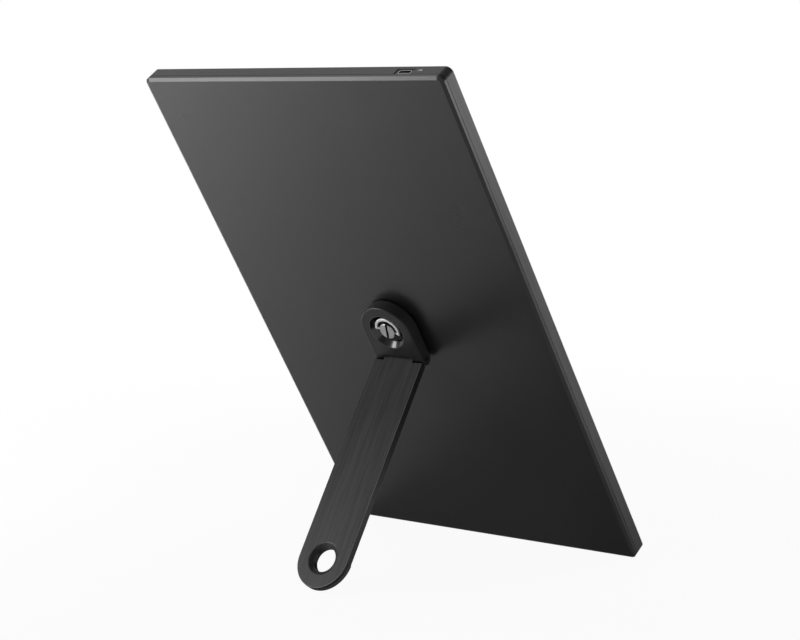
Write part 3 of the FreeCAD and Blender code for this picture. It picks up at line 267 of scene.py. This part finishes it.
def use(tree, group, **values):
    """A shared group placed in a material with its own values."""
    node = add(tree, "ShaderNodeGroup", node_tree=group)
    for name, setting in values.items():
        node.inputs[name.replace("_", " ")].default_value = setting
    return node


def facing(tree, direction, span):
    """1 where the surface faces a direction, 0 where it doesn't, going over within the span."""
    node = use(tree, FACING, Direction=direction, From=span[0], To=span[1])
    return node.outputs["Facing"]


def facing_either_way(tree, direction, span):
    """1 on the two opposite sides that face along a direction."""
    ahead = facing(tree, direction, span)
    behind = facing(tree, -direction, span)
    return math_node(tree, "MAXIMUM", ahead, behind)


def grey(level, warmth=0.0):
    """A grey of a level, warmer or cooler by a share of it."""
    return (level * (1 + warmth), level, level * (1 - warmth), 1.0)


def tint(tree, mask, low, high):
    """A colour between two, each a socket or a colour, by a mask from 0 to 1."""
    mix = add(tree, "ShaderNodeMix", data_type="RGBA")
    join(tree, mask, mix.inputs["Factor"])
    for name, given in (("A", low), ("B", high)):
        socket = [s for s in mix.inputs if s.name == name and s.type == "RGBA"][0]
        if isinstance(given, tuple):
            socket.default_value = given
        else:
            join(tree, given, socket)
    return [s for s in mix.outputs if s.type == "RGBA"][0]


def blend_values(tree, mask, low, high):
    """A value between two, each a socket or a number, by a mask from 0 to 1."""
    mix = add(tree, "ShaderNodeMix", data_type="FLOAT")
    join(tree, mask, mix.inputs["Factor"])
    give(tree, mix.inputs[2], low)
    give(tree, mix.inputs[3], high)
    return mix.outputs[0]


def average(tree, first, second):
    """The mean of two values."""
    total = math_node(tree, "ADD", first, second)
    return math_node(tree, "MULTIPLY", total, 0.5)


def spread(tree, value, low, high):
    """A noise's middle half stretched over a range."""
    return remap(tree, value, NOISE_MIDDLE, (low, high), clamp=True)


def emboss(tree, shader, height, relief):
    """Fine relief of a depth in metres."""
    bump = add(tree, "ShaderNodeBump")
    bump.inputs["Strength"].default_value = 1.0
    bump.inputs["Distance"].default_value = relief
    join(tree, height, bump.inputs["Height"])
    join(tree, bump.outputs["Normal"], shader.inputs["Normal"])


# Finishes

def grained(name, low, high, rough, grains, relief, **plain):
    """A blasted, moulded or plated surface: grain in the relief, clouds in colour and gloss."""
    material, tree, shader = new_material(name, **plain)
    grain = use(tree, GRAIN, Grains_per_metre=grains)
    mottle = average(tree, grain.outputs["Grain"], grain.outputs["Clouds"])
    join(tree, tint(tree, mottle, low, high), shader.inputs["Base Color"])
    satin = spread(tree, grain.outputs["Clouds"], rough[0], rough[1])
    join(tree, satin, shader.inputs["Roughness"])
    emboss(tree, shader, grain.outputs["Grain"], relief)
    return material


def frame_finish():
    """Brushed side walls, and a matt black bezel round the screen."""
    material, tree, shader = new_material("frame_brushed")
    brush = {"Turn": PANEL_TILT, "Lines_per_metre": 1900.0, "Stretch": 0.012}
    along = use(tree, HAIRLINES, **brush)
    across = use(tree, HAIRLINES, Across=1.0, **brush)
    ends = facing_either_way(tree, UP_PANEL, END_WALL)
    lines = blend_values(tree, ends, along.outputs["Lines"], across.outputs["Lines"])
    bezel = facing(tree, -BACK, BEZEL_FACE)
    wall = tint(tree, spread(tree, lines, 0.0, 1.0), grey(0.075), grey(0.143))
    join(tree, tint(tree, bezel, wall, grey(0.025)), shader.inputs["Base Color"])
    wall_satin = spread(tree, lines, 0.34, 0.44)
    join(tree, blend_values(tree, bezel, wall_satin, 0.5), shader.inputs["Roughness"])
    join(tree, blend_values(tree, bezel, 0.92, 0.0), shader.inputs["Metallic"])
    grain = use(tree, GRAIN, Grains_per_metre=3000.0)
    height = blend_values(tree, bezel, lines, grain.outputs["Grain"])
    emboss(tree, shader, height, relief=0.000004)
    return material


def arm_finish():
    """Black brushed metal of the arm, streaked from hinge to tip, with a painted highlight along
    its top edge and its sides painted lighter as painted side light.
    """
    material, tree, shader = new_material("arm_brushed", Metallic=0.9)
    brushed = use(tree, HAIRLINES, Turn=ARM_TILT, Lines_per_metre=1700.0, Stretch=0.022)
    streaks = average(tree, brushed.outputs["Streaks"], brushed.outputs["Lines"])
    face = tint(tree, spread(tree, streaks, 0.0, 1.0), grey(0.036), grey(0.092))
    # The arm's sides are painted a lighter grey than its face, as painted light falling from the
    # side
    sides = facing_either_way(tree, SIDEWAYS, ARM_SIDE)
    face_and_painted_side_light = tint(tree, sides, face, grey(0.12))
    # The top edge's chamfer is painted light grey, a painted highlight standing in for a glint
    above = facing(tree, ARM_OUT, PAINTED_GLINT_FOOT)
    below = facing(tree, ARM_OUT, PAINTED_GLINT_TOP)
    painted_glint = math_node(tree, "MULTIPLY", above, below)
    join(tree, tint(tree, painted_glint, face_and_painted_side_light, grey(0.4)), shader.inputs["Base Color"])
    satin = spread(tree, streaks, 0.34, 0.5)
    join(tree, blend_values(tree, sides, satin, 0.3), shader.inputs["Roughness"])
    emboss(tree, shader, brushed.outputs["Lines"], relief=0.000006)
    return material


def head_finish():
    """Satin face of the stand's head, with its sides darkened as painted shade."""
    material, tree, shader = new_material("head_satin")
    grain = use(tree, GRAIN, Grains_per_metre=2600.0)
    face = tint(tree, grain.outputs["Grain"], grey(0.052), grey(0.062))
    front = facing(tree, BACK, HEAD_FACE)
    # Where the head turns away from the back, its sides are painted near black as painted shade
    join(tree, tint(tree, front, grey(0.034), face), shader.inputs["Base Color"])
    join(tree, blend_values(tree, front, 0.2, 0.9), shader.inputs["Metallic"])
    satin = spread(tree, grain.outputs["Clouds"], 0.3, 0.34)
    join(tree, blend_values(tree, front, 0.6, satin), shader.inputs["Roughness"])
    emboss(tree, shader, grain.outputs["Grain"], relief=0.000002)
    return material


def turned_finish(name, low, high, rough, relief, painted_shade_below=None):
    """Plated steel with faint tool marks round the screw's axis, darkened up to a height as
    painted shade.
    """
    material, tree, shader = new_material(name, Metallic=1.0)
    marks = use(tree, TURNED)
    grain = use(tree, GRAIN, Clouds_per_metre=400.0)
    plated = tint(tree, grain.outputs["Clouds"], low, high)
    if painted_shade_below is not None:
        # Below the knob's face, deep in the well, the screw is painted near black as painted shade
        bright = math_node(tree, "GREATER_THAN", marks.outputs["Height"], painted_shade_below)
        plated = tint(tree, bright, grey(SCREW_PAINTED_SHADE), plated)
    join(tree, plated, shader.inputs["Base Color"])
    satin = spread(tree, marks.outputs["Rings"], rough[0], rough[1])
    join(tree, satin, shader.inputs["Roughness"])
    emboss(tree, shader, marks.outputs["Rings"], relief)
    return material


def board_finish():
    """Green solder mask with copper tracks under it."""
    material, tree, shader = new_material("solder_mask")
    place = add(tree, "ShaderNodeTexCoord")
    tracks = add(tree, "ShaderNodeTexBrick")
    tracks.inputs["Scale"].default_value = 420.0
    tracks.inputs["Mortar Size"].default_value = 0.06
    tracks.inputs["Color1"].default_value = (0.006, 0.05, 0.022, 1.0)
    tracks.inputs["Color2"].default_value = (0.007, 0.058, 0.026, 1.0)
    tracks.inputs["Mortar"].default_value = (0.02, 0.13, 0.05, 1.0)
    join(tree, place.outputs["Object"], tracks.inputs["Vector"])
    join(tree, tracks.outputs["Color"], shader.inputs["Base Color"])
    grain = use(tree, GRAIN)
    satin = spread(tree, grain.outputs["Clouds"], 0.3, 0.4)
    join(tree, satin, shader.inputs["Roughness"])
    return material


FINISHES = [
    (grained("cover_satin", grey(0.078), grey(0.088), rough=(0.27, 0.31), grains=2600.0,
             relief=0.0000015, Metallic=0.92),
     ["rear_cover"]),
    (frame_finish(),
     ["front_frame"]),
    (grained("screen_antiglare", grey(0.006, -0.04), grey(0.009, -0.06), rough=(0.27, 0.31),
             grains=6000.0, relief=0.0000006),
     ["lcd_cell"]),
    (arm_finish(),
     ["arm_bar"]),
    (head_finish(),
     ["head_plate"]),
    (grained("pin_black", grey(0.03), grey(0.036), rough=(0.4, 0.46), grains=3000.0,
             relief=0.000002, Metallic=0.9),
     ["hinge_pin", "friction_washers"]),
    (turned_finish("cup_polished", grey(0.115), grey(0.13), rough=(0.18, 0.25), relief=0.000001),
     ["well_liner"]),
    (turned_finish("screw_plated", grey(0.48), grey(0.55), rough=(0.32, 0.4), relief=0.000002,
                   painted_shade_below=KNOB_FACE),
     ["clamp_screw", "screw_washer"]),
    (turned_finish("ring_plated", grey(0.86), grey(0.94), rough=(0.36, 0.44), relief=0.000002),
     ["screw_ring"]),
    (grained("rubber", grey(0.085), grey(0.095), rough=(0.7, 0.8), grains=3500.0, relief=0.00002),
     ["rubber_foot", "friction_pad"]),
    (grained("key_plastic", grey(0.03), grey(0.036), rough=(0.42, 0.5), grains=3000.0,
             relief=0.000006),
     ["power_button", "menu_button"]),
    (grained("inlet_steel", grey(0.5), grey(0.58), rough=(0.22, 0.3), grains=3000.0,
             relief=0.000001, Metallic=1.0),
     ["usb_c_shell"]),
    (grained("light_pipe_resin", grey(0.58), grey(0.66), rough=(0.25, 0.32), grains=3000.0,
             relief=0.000002),
     ["led_light_pipe"]),
    (grained("pin_steel", grey(0.34), grey(0.4), rough=(0.3, 0.36), grains=3000.0,
             relief=0.000002, Metallic=1.0),
     ["socket_plate", "plate_screws", "board_screws"]),
    (grained("tray_zinc", grey(0.5), grey(0.6), rough=(0.35, 0.45), grains=900.0,
             relief=0.000004, Metallic=1.0),
     ["backlight_tray"]),
    (grained("white_film", grey(0.78), grey(0.82), rough=(0.4, 0.5), grains=3000.0,
             relief=0.000001),
     ["reflector_sheet", "diffuser_sheet", "prism_sheet", "light_guide"]),
    (board_finish(),
     ["main_board", "key_board", "driver_board", "led_bar"]),
    (grained("chip_epoxy", grey(0.016), grey(0.022), rough=(0.45, 0.55), grains=4000.0,
             relief=0.000004),
     ["main_board_chips", "driver_chips", "tact_switches", "ribbon_socket", "usb_c_tongue"]),
    (grained("led_resin", (0.8, 0.72, 0.4, 1.0), (0.84, 0.78, 0.5, 1.0), rough=(0.3, 0.4),
             grains=3000.0, relief=0.000002),
     ["backlight_leds", "status_led"]),
    (grained("cable_film", (0.5, 0.24, 0.05, 1.0), (0.56, 0.28, 0.07, 1.0), rough=(0.35, 0.45),
             grains=3000.0, relief=0.000002),
     ["display_ribbon", "key_ribbon", "driver_films"]),
    (grained("nut_brass", (0.66, 0.46, 0.17, 1.0), (0.72, 0.5, 0.2, 1.0), rough=(0.28, 0.36),
             grains=3000.0, relief=0.000002, Metallic=1.0),
     ["tripod_nut"]),
]

for finish, names in FINISHES:
    for name in names:
        node = frame["nodes"][name]
        node.data.materials.clear()
        node.data.materials.append(finish)


# Stage, light and camera

def shadow_share(tree):
    """How much of its own light the floor shows the camera: all of it far off is plain white."""
    place = add(tree, "ShaderNodeTexCoord")
    distance = add(tree, "ShaderNodeVectorMath", operation="LENGTH")
    join(tree, place.outputs["Object"], distance.inputs[0])
    return remap(tree, distance.outputs["Value"], SHADOW_REACH, (1 - SHADOW_SHARE, 1.0),
                 interpolation_type="SMOOTHSTEP")


def floor():
    """A white floor that is plain white to the camera but for the object's soft shadow."""
    mesh = bpy.data.meshes.new("floor")
    half = FLOOR_SIDE / 2
    corners = [(-half, -half, 0), (half, -half, 0), (half, half, 0), (-half, half, 0)]
    mesh.from_pydata(corners, [], [(0, 1, 2, 3)])
    plane = bpy.data.objects.new("floor", mesh)
    bpy.context.scene.collection.objects.link(plane)
    material = bpy.data.materials.new("floor_white")
    material.use_nodes = True
    tree = material.node_tree
    tree.nodes.remove(tree.nodes["Principled BSDF"])
    matt = add(tree, "ShaderNodeBsdfDiffuse")
    matt.inputs["Color"].default_value = grey(FLOOR_WHITE)
    white = add(tree, "ShaderNodeEmission")
    path = add(tree, "ShaderNodeLightPath")
    seen = math_node(tree, "MULTIPLY", path.outputs["Is Camera Ray"], shadow_share(tree))
    glossy = math_node(tree, "MAXIMUM", path.outputs["Is Glossy Ray"],
                       path.outputs["Is Transmission Ray"])
    mirrored = math_node(tree, "MULTIPLY", glossy, GLOSS_WHITE_SHARE)
    mix = add(tree, "ShaderNodeMixShader")
    join(tree, math_node(tree, "MAXIMUM", seen, mirrored), mix.inputs[0])
    join(tree, matt.outputs[0], mix.inputs[1])
    join(tree, white.outputs[0], mix.inputs[2])
    join(tree, mix.outputs[0], tree.nodes["Material Output"].inputs["Surface"])
    mesh.materials.append(material)


def world(dim, bright):
    """Soft light from all round, strongest from the bright side, and plain white to the camera."""
    sky = bpy.data.worlds.new("studio")
    bpy.context.scene.world = sky
    sky.use_nodes = True
    tree = sky.node_tree
    place = add(tree, "ShaderNodeTexCoord")
    sideways = add(tree, "ShaderNodeVectorMath", operation="DOT_PRODUCT")
    sideways.inputs[1].default_value = BRIGHT_SIDE
    join(tree, place.outputs["Generated"], sideways.inputs[0])
    strength = remap(tree, sideways.outputs["Value"], (-1.0, 1.0), (dim, bright))
    soft = tree.nodes["Background"]
    soft.inputs["Color"].default_value = grey(1.0)
    join(tree, strength, soft.inputs["Strength"])
    white = add(tree, "ShaderNodeBackground")
    white.inputs["Color"].default_value = grey(1.0)
    path = add(tree, "ShaderNodeLightPath")
    mix = add(tree, "ShaderNodeMixShader")
    join(tree, path.outputs["Is Camera Ray"], mix.inputs[0])
    join(tree, soft.outputs[0], mix.inputs[1])
    join(tree, white.outputs[0], mix.inputs[2])
    join(tree, mix.outputs[0], tree.nodes["World Output"].inputs["Surface"])


def softbox(name, spot, aim, wide, high, glow, beam=180.0):
    """A soft rectangular lamp, its glow as seen from in front and its beam in degrees."""
    lamp = bpy.data.lights.new(name, "AREA")
    lamp.shape = "RECTANGLE"
    lamp.size = wide
    lamp.size_y = high
    lamp.energy = glow * math.pi * wide * high
    lamp.spread = math.radians(beam)
    holder = bpy.data.objects.new(name, lamp)
    bpy.context.scene.collection.objects.link(holder)
    holder.location = spot
    holder.rotation_euler = (Vector(aim) - Vector(spot)).to_track_quat("-Z", "Y").to_euler()
    holder.visible_camera = False


def camera():
    """The photograph's place: behind the monitor and to its right, almost level."""
    lens = bpy.data.cameras.new("camera")
    lens.sensor_width = CAMERA_SENSOR
    lens.lens = CAMERA_LENS
    lens.clip_start = CAMERA_NEAR
    lens.clip_end = CAMERA_FAR
    holder = bpy.data.objects.new("camera", lens)
    bpy.context.scene.collection.objects.link(holder)
    holder.location = CAMERA_SPOT
    holder.rotation_euler = [math.radians(turn) for turn in CAMERA_TURN]
    bpy.context.scene.camera = holder


floor()
world(dim=0.03, bright=0.3)
softbox("left_box", spot=(0.92, 0.99, 0.42), aim=MIDDLE, wide=0.55, high=0.8, glow=4.8)
softbox("floor_box", spot=(1.07, 0.4, 1.3), aim=(1.02, 0.4, 0.0), wide=0.8, high=0.8, glow=5.0,
        beam=65.0)
softbox("right_box", spot=(-0.9, -1.2, 0.4), aim=MIDDLE, wide=0.8, high=0.5, glow=2.3)
softbox("top_box", spot=(1.0, -0.45, 1.5), aim=MIDDLE, wide=0.8, high=0.8, glow=0.07, beam=60.0)
softbox("side_fill", spot=(-1.5, 0.45, 0.3), aim=(0.0, 0.03, 0.1), wide=1.2, high=0.5, glow=0.9)
softbox("front_floor_box", spot=(-0.6, -0.9, 1.2), aim=(-0.5, -0.7, 0.0), wide=0.6, high=0.6,
        glow=1.0, beam=60.0)
camera()
bpy.context.scene.view_settings.view_transform = "Standard"
